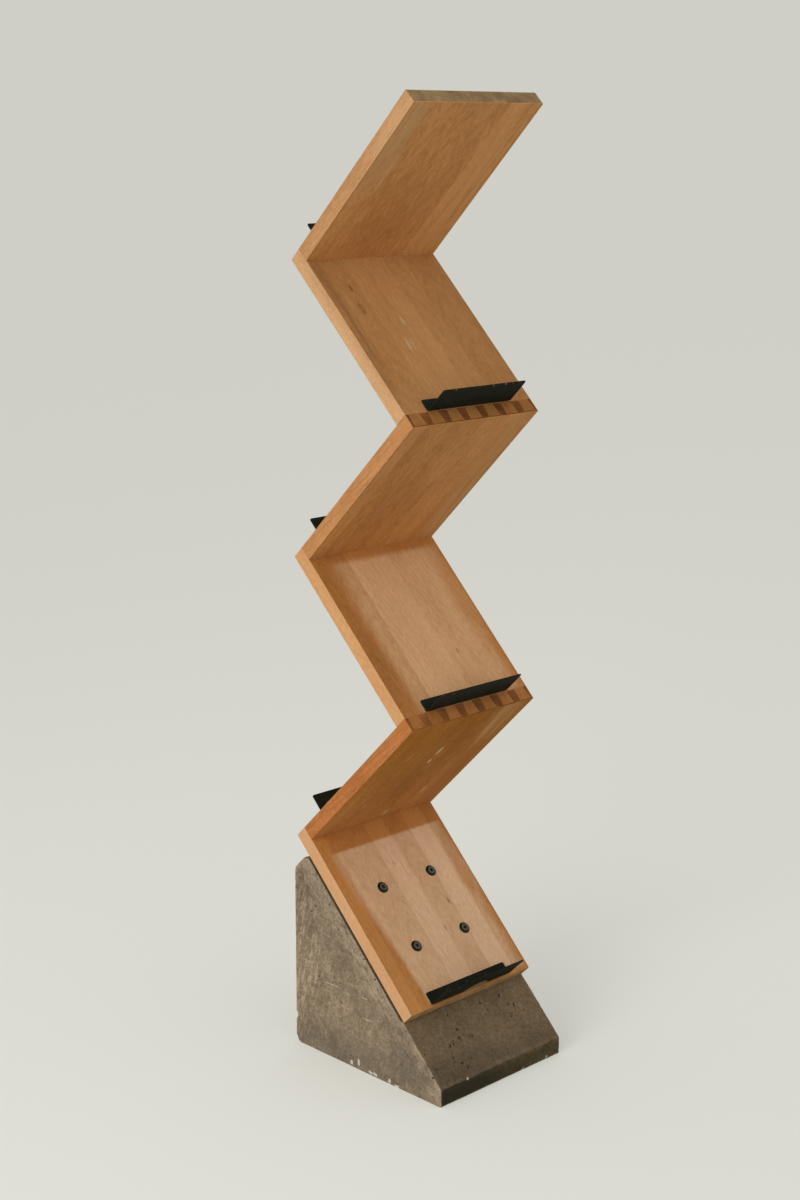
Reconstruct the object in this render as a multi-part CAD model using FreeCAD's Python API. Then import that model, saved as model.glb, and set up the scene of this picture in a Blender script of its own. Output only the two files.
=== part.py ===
import FreeCAD, Part
import math
import os

# A zigzag bookshelf: six equal boards stand one on another at square corners, lapped-dovetailed
# together, and the lowest one is bolted to the slope of a cast concrete base. Each board
# carries a bent steel stop at its low end, where a row of books rests.
# Millimetres, +Z up, front towards -Y, origin on the floor under the middle of the whole.

Vector = FreeCAD.Vector

# Boards: edge-glued hardwood panels, all cut to one length
BOARD_COUNT = 6
BOARD_LENGTH = 365.0
BOARD_WIDTH = 284.0
BOARD_THICKNESS = 25.4

# Lapped dovetails: tails on each upper board, pins on the board below it
TAIL_COUNT = 7
PIN_WIDTH = 20.0             # a whole pin at the baseline, where it is widest
HALF_PIN_WIDTH = 8.0         # the half pin at each edge, at the baseline
DOVETAIL_SLOPE = 1.0 / 9.0   # how far a tail's flank runs sideways for its length
LAP_THICKNESS = 2.5          # wood that hides the tails' ends on the pin board's outer face

# Cast concrete base: a wedge with a low front face, a slope, a ledge and a sloped back corner
BASE_SLOPE = 45.0            # degrees
BASE_TOE_HEIGHT = 30.0
BASE_SLOPE_LENGTH = 442.0
BASE_LEDGE = 15.0
BASE_BACK_RUN = 25.0
BASE_BACK_DROP = 25.0
BASE_MARGIN = 3.0            # how far the base is wider than the boards, on each side
BASE_EDGE_ROUND = 3.0
BASE_BACK_ROUND = 9.0
BOARD_FOOT_DISTANCE = 125.0  # along the slope, from the toe to the lowest board

# Book stops: sheet steel angles with a short flange on the board and a tall lip
STOP_WIDTH = 185.0
STOP_FLANGE = 22.5
STOP_LIP = 50.0
STOP_SHEET = 2.0
STOP_BEND_RADIUS = 2.0       # inside the bend
STOP_CORNER_RADIUS = 3.0
LOWEST_STOP_SETBACK = 3.5    # from the lower end of the lowest board, which has no joint

# Countersunk wood screws that hold a stop's flange, twelve-sided to keep so many small pieces light
SCREW_COUNT = 3
SCREW_PITCH = 45.0
SCREW_SIDES = 12
SCREW_DIAMETER = 3.5
SCREW_HEAD_DIAMETER = 7.0
SCREW_LENGTH = 18.0
SCREW_TIP = 4.0              # length of the tapered end
SCREW_TIP_DIAMETER = 1.0

# Flat-headed connector bolts, in a square pattern, that hold the lowest board to the base
BOLT_SPACING = 115.0
BOLT_PATTERN_CENTRE = 163.0  # along the board, from its lower end
BOLT_DIAMETER = 8.0
BOLT_HEAD_DIAMETER = 20.0
BOLT_HEAD_HEIGHT = 2.8
BOLT_HEAD_RIM = 0.9
BOLT_HEAD_FLAT = 13.0
BOLT_SOCKET = 6.0            # across flats
BOLT_SOCKET_DEPTH = 3.5
BOLT_GRIP = 30.0             # length of thread inside the insert
BOLT_HOLE_CLEARANCE = 0.5    # round the bolt in the board

# Threaded sleeves cast into the base, each on a square plate that keeps it from pulling out
INSERT_DIAMETER = 14.0
INSERT_FLOOR = 6.0           # solid metal below the bore
INSERT_SPARE_BORE = 4.0      # bore beyond the bolt's end
INSERT_PLATE_WIDTH = 24.0
INSERT_PLATE_THICKNESS = 4.0

THREAD_CLEARANCE = 0.1       # round a screw or a bolt in its thread

PICK_TOLERANCE = 0.01        # for finding an edge by its place or length
FULL_TURN = 360.0            # degrees

# Each board stands on the end of the one below it, turned about so that the corner is square
NEXT_BOARD = FreeCAD.Placement(
    Vector(0, BOARD_LENGTH, -BOARD_THICKNESS),
    FreeCAD.Rotation(Vector(-1, 0, 0), Vector(0, 0, 1), Vector(0, 1, 0), "XYZ"))


def lowest_board_placement():
    """The lowest board's frame, lying on the base's slope."""
    slope = math.radians(BASE_SLOPE)
    along = Vector(0, math.cos(slope), math.sin(slope))
    outwards = Vector(0, -math.sin(slope), math.cos(slope))
    toe = Vector(0, 0, BASE_TOE_HEIGHT)
    foot = toe + along * BOARD_FOOT_DISTANCE + outwards * BOARD_THICKNESS
    return FreeCAD.Placement(foot, FreeCAD.Rotation(Vector(1, 0, 0), along, outwards, "XYZ"))


def board_placements():
    """One frame for each board: X across, Y up its length, Z out of its upper face."""
    placements = [lowest_board_placement()]
    while len(placements) < BOARD_COUNT:
        placements.append(placements[-1].multiply(NEXT_BOARD))
    return placements


def placed(shape, placement):
    """A copy of a shape, moved from a local frame to the shelf's frame."""
    copy = shape.copy()
    copy.Placement = placement.multiply(copy.Placement)
    return copy


def turned_solid(outline):
    """A solid of revolution about Z from an outline of (radius, height) points."""
    points = [Vector(radius, 0, height) for radius, height in outline]
    face = Part.Face(Part.makePolygon(points + points[:1]))
    return face.revolve(Vector(0, 0, 0), Vector(0, 0, 1), FULL_TURN)


def tail_outlines():
    """Each tail seen on the board's face, from its left root round its end to its right root."""
    pitch = (BOARD_WIDTH - 2 * HALF_PIN_WIDTH + PIN_WIDTH) / TAIL_COUNT
    flare = (BOARD_THICKNESS - LAP_THICKNESS) * DOVETAIL_SLOPE
    outlines = []
    for index in range(TAIL_COUNT):
        left = -BOARD_WIDTH / 2 + HALF_PIN_WIDTH + index * pitch
        right = left + pitch - PIN_WIDTH
        outlines.append([
            Vector(left, BOARD_THICKNESS, 0),
            Vector(left - flare, LAP_THICKNESS, 0),
            Vector(right + flare, LAP_THICKNESS, 0),
            Vector(right, BOARD_THICKNESS, 0)])
    return outlines


def through_board(outline):
    """A closed outline on the upper face, cut straight through the board."""
    face = Part.Face(Part.makePolygon(outline + outline[:1]))
    return face.extrude(Vector(0, 0, -BOARD_THICKNESS))


def board_blank(has_tails):
    """A board with its lower end plain or cut into tails."""
    half = BOARD_WIDTH / 2
    if has_tails:
        lower_end = [Vector(-half, BOARD_THICKNESS, 0)]
        for outline in tail_outlines():
            lower_end += outline
        lower_end.append(Vector(half, BOARD_THICKNESS, 0))
    else:
        lower_end = [Vector(-half, 0, 0), Vector(half, 0, 0)]
    upper_end = [Vector(half, BOARD_LENGTH, 0), Vector(-half, BOARD_LENGTH, 0)]
    return through_board(lower_end + upper_end)


def tail_sockets():
    """The next board's tails where they enter this board's upper end, leaving the pins."""
    return [placed(through_board(outline), NEXT_BOARD) for outline in tail_outlines()]


def stop_setback(index):
    """From a board's lower corner to the stop's lip, which lines up with the joint's baseline."""
    return LOWEST_STOP_SETBACK if index == 0 else BOARD_THICKNESS


def screw_spots(index):
    """Where a board's stop screws stand, on the board's upper face."""
    bend = STOP_SHEET + STOP_BEND_RADIUS
    line = stop_setback(index) + (bend + STOP_FLANGE) / 2
    first = -SCREW_PITCH * (SCREW_COUNT - 1) / 2
    return [Vector(first + SCREW_PITCH * number, line, 0) for number in range(SCREW_COUNT)]


def faceted_solid(sides, rings):
    """A many-sided solid about Z from rings of (corner radius, height), all its faces flat."""
    turns = [math.radians(FULL_TURN * corner / sides) for corner in range(sides)]
    loops = [
        [Vector(radius * math.cos(turn), radius * math.sin(turn), height) for turn in turns]
        for radius, height in rings]
    outlines = [loops[0], loops[-1]]
    for upper, lower in zip(loops, loops[1:]):
        for corner in range(sides):
            outlines.append([upper[corner - 1], upper[corner], lower[corner], lower[corner - 1]])
    faces = [Part.Face(Part.makePolygon(outline + outline[:1])) for outline in outlines]
    return Part.Solid(Part.Shell(faces))


def screw(clearance):
    """A countersunk screw, flush with the flange; its hole is the same with a clearance."""
    shank = SCREW_DIAMETER / 2 + clearance
    head = SCREW_HEAD_DIAMETER / 2 + clearance
    tip = SCREW_TIP_DIAMETER / 2 + clearance
    return faceted_solid(SCREW_SIDES, [
        (head, STOP_SHEET),
        (shank, STOP_SHEET - (head - shank)),
        (shank, STOP_SHEET - SCREW_LENGTH + SCREW_TIP),
        (tip, STOP_SHEET - SCREW_LENGTH - clearance)])


def book_stop(index):
    """A bent sheet angle: flange on the board, lip square to it, free corners rounded."""
    bend = STOP_SHEET + STOP_BEND_RADIUS
    diagonal = math.sqrt(0.5)
    bend_centre = Vector(0, bend, bend)
    outer_middle = bend_centre - Vector(0, bend, bend) * diagonal
    inner_middle = bend_centre - Vector(0, STOP_BEND_RADIUS, STOP_BEND_RADIUS) * diagonal
    corners = [
        Vector(0, bend, 0), Vector(0, STOP_FLANGE, 0), Vector(0, STOP_FLANGE, STOP_SHEET),
        Vector(0, bend, STOP_SHEET), Vector(0, STOP_SHEET, bend), Vector(0, STOP_SHEET, STOP_LIP),
        Vector(0, 0, STOP_LIP), Vector(0, 0, bend)]
    edges = [Part.LineSegment(a, b).toShape() for a, b in zip(corners[:3], corners[1:4])]
    edges.append(Part.Arc(corners[3], inner_middle, corners[4]).toShape())
    edges += [Part.LineSegment(a, b).toShape() for a, b in zip(corners[4:7], corners[5:])]
    edges.append(Part.Arc(corners[7], outer_middle, corners[0]).toShape())
    profile = Part.Face(Part.Wire(edges))
    profile.translate(Vector(-STOP_WIDTH / 2, 0, 0))
    stop = profile.extrude(Vector(STOP_WIDTH, 0, 0))
    sheet_ends = [
        edge for edge in stop.Edges
        if abs(edge.Length - STOP_SHEET) < PICK_TOLERANCE
        and (edge.CenterOfMass.y > bend or edge.CenterOfMass.z > bend)]
    stop = stop.makeFillet(STOP_CORNER_RADIUS, sheet_ends)
    stop.translate(Vector(0, stop_setback(index), 0))
    for spot in screw_spots(index):
        hole = screw(THREAD_CLEARANCE)
        hole.translate(spot)
        stop = stop.cut(hole)
    return stop


def bolt_spots():
    """The four bolts' places on the lowest board's upper face."""
    reach = BOLT_SPACING / 2
    return [
        Vector(side * reach, BOLT_PATTERN_CENTRE + end * reach, 0)
        for end in (-1, 1) for side in (-1, 1)]


def base_bolt():
    """A connector bolt with a low head, a bevelled rim and a hexagon socket."""
    shank = BOLT_DIAMETER / 2
    head = BOLT_HEAD_DIAMETER / 2
    tip = -BOARD_THICKNESS - BOLT_GRIP
    bolt = turned_solid([
        (0, BOLT_HEAD_HEIGHT),
        (BOLT_HEAD_FLAT / 2, BOLT_HEAD_HEIGHT),
        (head, BOLT_HEAD_RIM),
        (head, 0),
        (shank, 0),
        (shank, tip),
        (0, tip)])
    corner_radius = BOLT_SOCKET / math.sqrt(3)
    socket_floor = BOLT_HEAD_HEIGHT - BOLT_SOCKET_DEPTH
    socket = faceted_solid(6, [(corner_radius, BOLT_HEAD_HEIGHT), (corner_radius, socket_floor)])
    return bolt.cut(socket)


def insert_body():
    """A cast-in sleeve's outside, from its mouth at the slope down to its square plate."""
    length = BOLT_GRIP + INSERT_SPARE_BORE + INSERT_FLOOR
    bottom = -BOARD_THICKNESS - length
    sleeve = Part.makeCylinder(INSERT_DIAMETER / 2, length, Vector(0, 0, bottom))
    corner = Vector(-INSERT_PLATE_WIDTH / 2, -INSERT_PLATE_WIDTH / 2, bottom)
    plate = Part.makeBox(INSERT_PLATE_WIDTH, INSERT_PLATE_WIDTH, INSERT_PLATE_THICKNESS, corner)
    return sleeve.fuse(plate).removeSplitter()


def base_insert():
    """A threaded sleeve with a blind bore for its bolt."""
    bore_depth = BOLT_GRIP + INSERT_SPARE_BORE
    bore = Part.makeCylinder(
        BOLT_DIAMETER / 2 + THREAD_CLEARANCE, bore_depth,
        Vector(0, 0, -BOARD_THICKNESS - bore_depth))
    return insert_body().cut(bore)


def concrete_base(lowest_board):
    """The casting: a wedge with eased edges, cast round the inserts."""
    slope = math.radians(BASE_SLOPE)
    slope_run = BASE_SLOPE_LENGTH * math.cos(slope)
    top = BASE_TOE_HEIGHT + BASE_SLOPE_LENGTH * math.sin(slope)
    ledge_end = slope_run + BASE_LEDGE
    back = ledge_end + BASE_BACK_RUN
    width = BOARD_WIDTH + 2 * BASE_MARGIN
    profile = [
        (0, 0), (0, BASE_TOE_HEIGHT), (slope_run, top),
        (ledge_end, top), (back, top - BASE_BACK_DROP), (back, 0)]
    points = [Vector(-width / 2, y, z) for y, z in profile]
    base = Part.Face(Part.makePolygon(points + points[:1])).extrude(Vector(width, 0, 0))
    back_edges = [
        edge for edge in base.Edges
        if edge.CenterOfMass.y > slope_run + PICK_TOLERANCE
        and edge.CenterOfMass.z > PICK_TOLERANCE
        and abs(edge.CenterOfMass.x) < PICK_TOLERANCE]
    base = base.makeFillet(BASE_BACK_ROUND, back_edges)
    other_edges = [
        edge for edge in base.Edges
        if edge.CenterOfMass.z > PICK_TOLERANCE
        and (abs(edge.CenterOfMass.x) > width / 2 - PICK_TOLERANCE
             or edge.CenterOfMass.y < slope_run + PICK_TOLERANCE)]
    base = base.makeFillet(BASE_EDGE_ROUND, other_edges)
    for spot in bolt_spots():
        sleeve = insert_body()
        sleeve.translate(spot)
        base = base.cut(placed(sleeve, lowest_board))
    return base


def drilled_board(index):
    """A board with its joints cut, its stop's screw holes and, on the lowest, the bolt holes."""
    board = board_blank(has_tails=index > 0)
    cuts = []
    if index < BOARD_COUNT - 1:
        cuts += tail_sockets()
    for spot in screw_spots(index):
        hole = screw(THREAD_CLEARANCE)
        hole.translate(spot)
        cuts.append(hole)
    if index == 0:
        radius = BOLT_DIAMETER / 2 + BOLT_HOLE_CLEARANCE
        for spot in bolt_spots():
            cuts.append(Part.makeCylinder(
                radius, BOARD_THICKNESS, spot - Vector(0, 0, BOARD_THICKNESS)))
    return board.cut(Part.Compound(cuts))


def copies_at(shape, spots, placement):
    """Separate copies of one fastener at several places on a board."""
    copies = []
    for spot in spots:
        copy = shape.copy()
        copy.translate(spot)
        copies.append(placed(copy, placement))
    return copies


def build():
    """Every piece of the shelf by its name, with the origin under the middle of the whole."""
    boards = board_placements()
    lowest = boards[0]
    pieces = {"concrete_base": concrete_base(lowest)}
    screws = []
    for index, placement in enumerate(boards):
        pieces[f"board_{index + 1}"] = placed(drilled_board(index), placement)
        pieces[f"book_stop_{index + 1}"] = placed(book_stop(index), placement)
        screws += copies_at(screw(0), screw_spots(index), placement)
    pieces["stop_screws"] = Part.Compound(screws)
    pieces["base_bolts"] = Part.Compound(copies_at(base_bolt(), bolt_spots(), lowest))
    pieces["base_inserts"] = Part.Compound(copies_at(base_insert(), bolt_spots(), lowest))
    box = Part.Compound(list(pieces.values())).BoundBox
    for shape in pieces.values():
        shape.translate(Vector(-box.Center.x, -box.Center.y, -box.ZMin))
    return pieces


def main():
    os.makedirs("parts", exist_ok=True)
    for name, shape in build().items():
        shape.exportStep(f"parts/{name}.step")
        print(name, len(shape.Solids), "solids", round(shape.Volume / 1000, 1), "cm3")


main()
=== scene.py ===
import math
import random
from collections import namedtuple

import bmesh
import bpy
from bpy.props import FloatProperty, FloatVectorProperty, IntProperty, PointerProperty
from mathutils import Matrix, Vector, kdtree, noise


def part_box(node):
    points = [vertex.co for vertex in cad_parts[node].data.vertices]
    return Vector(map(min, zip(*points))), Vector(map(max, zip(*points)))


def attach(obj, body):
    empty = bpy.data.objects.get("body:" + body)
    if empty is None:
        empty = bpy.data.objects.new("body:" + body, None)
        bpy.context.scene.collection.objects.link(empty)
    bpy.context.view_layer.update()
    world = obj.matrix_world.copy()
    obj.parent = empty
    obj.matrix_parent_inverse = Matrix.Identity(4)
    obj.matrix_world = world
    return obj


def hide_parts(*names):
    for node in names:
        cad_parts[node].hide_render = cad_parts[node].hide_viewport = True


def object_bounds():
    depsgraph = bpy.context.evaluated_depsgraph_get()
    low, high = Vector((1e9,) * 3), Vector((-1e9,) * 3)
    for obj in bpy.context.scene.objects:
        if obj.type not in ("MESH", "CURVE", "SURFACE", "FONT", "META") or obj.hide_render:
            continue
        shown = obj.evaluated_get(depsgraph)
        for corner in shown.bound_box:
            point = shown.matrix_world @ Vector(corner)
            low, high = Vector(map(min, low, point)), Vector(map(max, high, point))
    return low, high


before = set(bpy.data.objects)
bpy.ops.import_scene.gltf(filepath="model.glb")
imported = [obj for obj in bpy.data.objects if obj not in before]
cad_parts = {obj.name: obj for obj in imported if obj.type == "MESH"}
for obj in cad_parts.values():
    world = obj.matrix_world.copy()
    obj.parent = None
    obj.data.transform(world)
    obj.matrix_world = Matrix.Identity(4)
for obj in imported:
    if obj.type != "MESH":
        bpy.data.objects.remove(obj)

bl_info = {
    "name": "Zigzag bookshelf",
    "version": (1, 0, 0),
    "blender": (4, 5, 0),
    "location": "View3D > Sidebar > Shelf",
    "description": "Dresses a zigzag bookshelf in oiled wood, cast concrete and steel",
    "category": "Object",
}

CAD_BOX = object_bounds()
BODY = "root"

MM = 0.001
DIAGONAL = math.sqrt(0.5)    # every board and the base's slope stand at 45 degrees
NEAR = 0.02 * MM             # two points this close are the same point
PLACE = "place"              # attribute: a point in its own board's frame
LOWEST_BOARD = 1
HIGHEST_BOARD = 6
BOARD_NUMBERS = range(LOWEST_BOARD, HIGHEST_BOARD + 1)
CLOUDY = (0.3, 0.7)          # most values of a cloudy pattern lie between these
WAVE_LENGTH = math.pi / 10   # length of one wave of the wave texture at scale 1
BUMP_FILTER = 0.1            # pixels over which a bump's slope is taken
FRAME_WIDTH = 36.0           # of the camera's film, in millimetres
PIT_SEED = 4                 # starts the random draws of the base's pits and ragged marks


def linear(hex_colour):
    """An sRGB hex colour as linear red, green, blue and alpha."""
    channels = [int(hex_colour[start:start + 2], 16) / 255 for start in (1, 3, 5)]
    return (*[c / 12.92 if c <= 0.04045 else ((c + 0.055) / 1.055) ** 2.4 for c in channels], 1.0)


def a_number(name, description, value, **kind):
    """A number that a user can change."""
    return FloatProperty(name=name, description=description, default=value, **kind)


def a_length(name, description, millimetres):
    """A length that a user can change."""
    return a_number(name, description, millimetres * MM, unit="LENGTH")


def a_colour(name, description, hex_colour):
    """A colour that a user can change."""
    return FloatVectorProperty(
        name=name, description=description, default=linear(hex_colour), size=4, subtype="COLOR",
        min=0, max=1)


# Colours of the marks on the wood: whitish scuffs, faded patches, and stains with knots among them
SCUFF = "#E3C9A0"
FADED = "#CDA06A"
STAIN = "#5E3C22"

# How each board has aged, with the light that is painted into it. Places are millimetres in the board's own
# frame: across it, and up it from its lower corner. The ground goes from the foot's colour to the head's.
# The pale-and-lit patch is the paler middle of an upper face, partly paler wood and partly a painted pool
# of light, cut off crisply at the top by the painted shadow of the board above. It has a blur at each
# border; on the left the border leans and its blur widens upwards. The foot's stain darkens the tails,
# the end grain is the head's, and figure scales the grain. Staves start the random draws of the staves'
# tones. Marks lie on the face that is in view.
Bleached = namedtuple(
    "Bleached", "colour left high_left low_blur high_blur right right_blur foot top top_blur")
Mark = namedtuple("Mark", "across up half_width half_length strength colour")
BoardLook = namedtuple(
    "BoardLook", "foot head edge end_grain staves first_joint foot_stain shine figure marks bleached",
    defaults=[None])
BOARD_LOOKS = {
    1: BoardLook(
        foot="#C5894F", head="#C08145", edge="#CE9E72", end_grain="#8C5830",
        staves=1262, first_joint=-115, foot_stain=0.0, shine=0.08, figure=0.7,
        bleached=Bleached(
            colour="#E0B791", left=-95, high_left=-114, low_blur=4, high_blur=16,
            right=125, right_blur=20, foot=8, top=303, top_blur=3),
        marks=[
            Mark(-8, 255, 3, 8, 0.7, STAIN), Mark(58, 160, 2.5, 9, 0.7, STAIN),
            Mark(20, 118, 2.5, 9, 0.6, STAIN)]),
    # Boards 2, 4 and 6 show their undersides, whose foot and head colours are made bluer to stand for their
    # sheen: painted sheen.
    2: BoardLook(
        foot="#C88A4F", head="#B1732A", edge="#AE6E3E", end_grain="#8C5830",
        staves=2326, first_joint=-112, foot_stain=0.4, shine=0.05, figure=1.5,
        marks=[
            Mark(-116, 120, 40, 200, 0.7, "#A05F1A"), Mark(-94, 318, 50, 110, 0.85, FADED),
            Mark(1, 254, 6, 18, 1.0, SCUFF), Mark(2, 222, 5, 10, 1.0, SCUFF),
            Mark(76, 263, 5, 18, 0.8, SCUFF), Mark(75, 102, 7, 16, 0.9, SCUFF),
            Mark(-70, 101, 5, 18, 0.9, SCUFF), Mark(-15, 47, 8, 14, 0.8, SCUFF),
            Mark(20, 150, 50, 90, 0.25, STAIN)]),
    3: BoardLook(
        foot="#BB7E46", head="#BF8245", edge="#D4A170", end_grain="#8C5830",
        staves=2358, first_joint=-112, foot_stain=0.35, shine=0.08, figure=0.8,
        bleached=Bleached(
            colour="#DAAB7C", left=-101, high_left=-101, low_blur=13, high_blur=16,
            right=117, right_blur=28, foot=28, top=322, top_blur=7),
        marks=[
            Mark(45, 118, 3, 8, 0.8, STAIN), Mark(-128, 210, 18, 240, 0.24, STAIN),
            Mark(104, 20, 14, 9, 0.7, SCUFF)]),
    4: BoardLook(
        foot="#CF9053", head="#D1955C", edge="#B68051", end_grain="#83502A",
        staves=1231, first_joint=-112, foot_stain=0.4, shine=0.05, figure=1.3,
        marks=[
            Mark(60, 150, 10, 60, 0.15, SCUFF), Mark(-118, 170, 34, 330, 0.8, FADED)]),
    5: BoardLook(
        foot="#C59059", head="#C59059", edge="#D2A67A", end_grain="#8C5830",
        staves=747, first_joint=-113, foot_stain=1.0, shine=0.08, figure=0.8,
        marks=[
            Mark(-41, 157, 14, 18, 0.45, SCUFF), Mark(-23, 206, 6, 14, 0.4, SCUFF),
            Mark(-92, 238, 12, 26, 0.35, STAIN), Mark(-93, 242, 4, 8, 1.0, STAIN),
            Mark(-91, 229, 4, 6, 1.0, STAIN), Mark(-87, 278, 5, 12, 0.7, STAIN),
            Mark(-131, 230, 24, 260, 0.42, STAIN), Mark(130, 200, 24, 280, 0.15, STAIN)]),
    6: BoardLook(
        foot="#D99B5E", head="#DCA065", edge="#BD8D61", end_grain="#A1845D",
        staves=1603, first_joint=-112, foot_stain=0.4, shine=0.05, figure=1.3,
        marks=[
            # The first patch, pale at the side near the head, is painted light.
            Mark(124, 345, 38, 250, 0.9, "#CCA474"), Mark(-112, 200, 48, 360, 0.8, "#E0A467"),
            Mark(95, 220, 9, 70, 0.35, SCUFF), Mark(20, 60, 60, 110, 0.15, STAIN)]),
}

# How far the darkest and the palest grain leave a board's ground colour
DEEP_GRAIN = (0.76, 0.68, 0.56)
PALE_GRAIN = (1.16, 1.18, 1.22)

# Marks on the base that stand out, in millimetres
PIT_RADIUS = 2.2
PIT_RADII = (1.6, 2.0, 2.0, 2.6)  # of the scattered air holes
SIDE_CHIP_RADIUS = 3.7
FRONT_CHIP_RADIUS = 3
SLOPE_PITS = [(82, 88), (90, 82), (76, 68), (72, 105), (26, 109), (-70, 64),  # across, up the slope
              (-81, 60), (-52, 68), (-46, 81), (-76, 29), (-28, 64), (-67, 18)]
SIDE_PITS = [(54, 106), (-90, 43)]                                            # depth, height
SIDE_CHIPS = [(30, 7), (13, 13), (-17, 6), (-28, 6), (-61, 5), (-80, 2)]      # depth, height
FRONT_CHIPS = [(-80, 30), (53, 2), (111, 4)]                                  # across, height
EDGE_BREAKS = [(0, 13), (49, 8)]                                              # height, radius, at the back
SIDE_SCRATCHES = [(78, 133, 29), (-2, 133, 13), (-9, 97, 14)]                 # depth, height, half length

# Sizes of the casting's unevenness and of its marks' ragged outlines
BROAD_DIP = 55 * MM
LUMP = 14 * MM
CRUMB = 5 * MM
RAGGED = 3 * MM

# The pale oval at the foot of the lowest lip's front, in millimetres
LIP_OVAL_MIDDLE = (7, 3)       # across, height over the board
LIP_OVAL_RADII = (36, 8, 25)   # across, along the board, height

# Length, width and depth of the bars that cut a screw's cross, as shares of its head
CROSS_SHARES = (0.62, 0.16, 0.5)

# Chips in the stops' paint: (across, height over the board, radius) on the lip, in millimetres
PAINT_CHIPS = {
    1: [(-60, 43, 2.2), (-84, 47, 2.5)],
    3: [(-64, 46, 2.4), (-88, 48, 1.6)],
    5: [(-66, 49, 2.0), (18, 49, 2.0), (46, 49, 2.6), (62, 49, 1.6)],
}


class ShelfBoards(bpy.types.PropertyGroup):
    """Sizes and patterns of the six boards."""
    thickness: a_length("Thickness", "Thickness of a board", 25.4)
    edge_round: a_length("Edge round", "How far handling has eased the outer edges", 1.1)
    joint_share: a_number(
        "Joint ease", "Ease of the dovetails' edges, as a share of the edge round", 0.25,
        subtype="FACTOR", min=0, max=1)
    lap_share: a_number(
        "Lap ease", "Ease of the thin lap's outer edge, as a share of the edge round", 0.55,
        subtype="FACTOR", min=0, max=1)
    stave_width: a_length("Stave width", "Width of the strips that are glued edge to edge", 45)
    growth_line: a_length("Growth line", "Spacing of the growth lines on a flat-sawn face", 4.5)
    streak_width: a_length("Streak width", "Width of the colour streaks across the grain", 6.5)
    streak_length: a_length("Streak length", "Length of the colour streaks along the grain", 140)
    fleck_width: a_length("Fleck width", "Width of the fine flecks, drawn coarse enough to show", 1.5)
    free_foot: a_colour(
        "Free foot", "Cleaner end grain at the lowest board's foot, which is in no joint", "#B08D61")
    splinter: a_colour("Splinters", "Wood that has broken out along the joints", "#CBB494")


class ShelfBase(bpy.types.PropertyGroup):
    """Sizes and wear of the concrete base."""
    toe_height: a_length("Toe height", "Height of the low front face", 30)
    back_run: a_length("Back run", "Depth of the sloped back corner", 25)
    back_drop: a_length("Back drop", "Height of the sloped back corner", 25)
    grid: a_length("Grid", "Spacing of the mesh that carries pits and chips", 2.4)
    skin: a_length("Skin", "Depth from the outer faces that can weather", 4)
    waviness: a_length("Waviness", "How far the cast faces dip between high spots", 0.5)
    chip_depth: a_length("Chip depth", "Deepest chip along an edge", 0.9)
    break_depth: a_length("Break depth", "How deep a corner has broken away", 5)
    chip_reach: a_length("Chip reach", "How far chips reach from an edge", 8)
    pit_depth: a_length("Pit depth", "Depth of the air holes", 1.8)
    scar_depth: a_length("Scar depth", "Depth of the white chips near the floor", 2)
    pits: IntProperty(name="Pits", description="Air holes over all the faces", default=26, min=0)
    pinhole_spacing: a_length("Pinhole spacing", "Spacing of the finest air holes", 13)
    pale: a_colour("Pale cement", "Dry, rubbed cement skin", "#A49076")
    dark: a_colour("Dark cement", "Stained cement skin", "#61523E")
    scratch: a_colour("Scratches", "Pale scratches on the side", "#BFB3A0")
    damp: a_colour("Damp cement", "Darker skin low on the sides", "#5F5547")
    slope_brown: a_colour("Slope cement", "Browner, more even skin of the slope", "#7E6E58")
    # Painted shade: the dark colour in the air holes and pinholes.
    hole_shade: a_colour("Holes", "Dark inside of the air holes", "#211C17")
    chipped: a_colour("Chips", "White of the broken edges", "#D3CBBC")


class ShelfSteel(bpy.types.PropertyGroup):
    """Sizes and finishes of the stops and fasteners."""
    sheet: a_length("Sheet", "Thickness of the stops' sheet", 2)
    sheet_round: a_length("Cut edge", "Round of the cut edges of stops and bolts", 0.3)
    lip_setback: a_length(
        "Lip setback", "From a board's lower corner to its stop's lip, past the joint", 25.4)
    lowest_setback: a_length("Lowest setback", "The same on the lowest board, which has no joint", 3.5)
    screw_line: a_length("Screw line", "From a stop's lip to its row of screws", 13.25)
    screw_pitch: a_length("Screw pitch", "Spacing of a stop's three screws", 45)
    screw_head: a_length("Screw head", "Diameter of a screw's head", 7)
    screw_shank: a_length("Screw shank", "Diameter of a screw's shank", 3.5)
    screw_length: a_length("Screw length", "Length of a screw with its head", 18)
    bolt_spacing: a_length("Bolt spacing", "Side of the square of bolts", 115)
    bolt_centre: a_length("Bolt centre", "Middle of the bolts, from the lowest board's lower end", 163)
    bolt_flat: a_length("Bolt flat", "Diameter of a bolt head's flat ring", 13)
    paint: a_colour("Black paint", "Satin paint on the stops", "#1B1E15")
    rubbed: a_colour("Rubbed paint", "Primer and steel where the paint is chipped", "#A79B8A")
    haze: a_colour("Haze", "Dust and handling on the paint", "#8A8378")
    # Colour of the pale oval at the foot of the lowest lip's front.
    worn: a_colour("Worn paint", "Where the lowest lip is worn through its paint", "#8E7D66")
    oxide: a_colour("Black oxide", "Finish of the bolt heads", "#2B2B28")
    # Painted highlight: the greyer colour of the heads' flat rings.
    highlight_oxide: a_colour("Rubbed oxide", "Flat rings of the bolt heads", "#62625C")
    screw_zinc: a_colour("Black zinc", "Plating of the stops' screws", "#3A3835")
    sleeve_zinc: a_colour("Zinc", "Plating of the sleeves in the base", "#B9BBB8")


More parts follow.
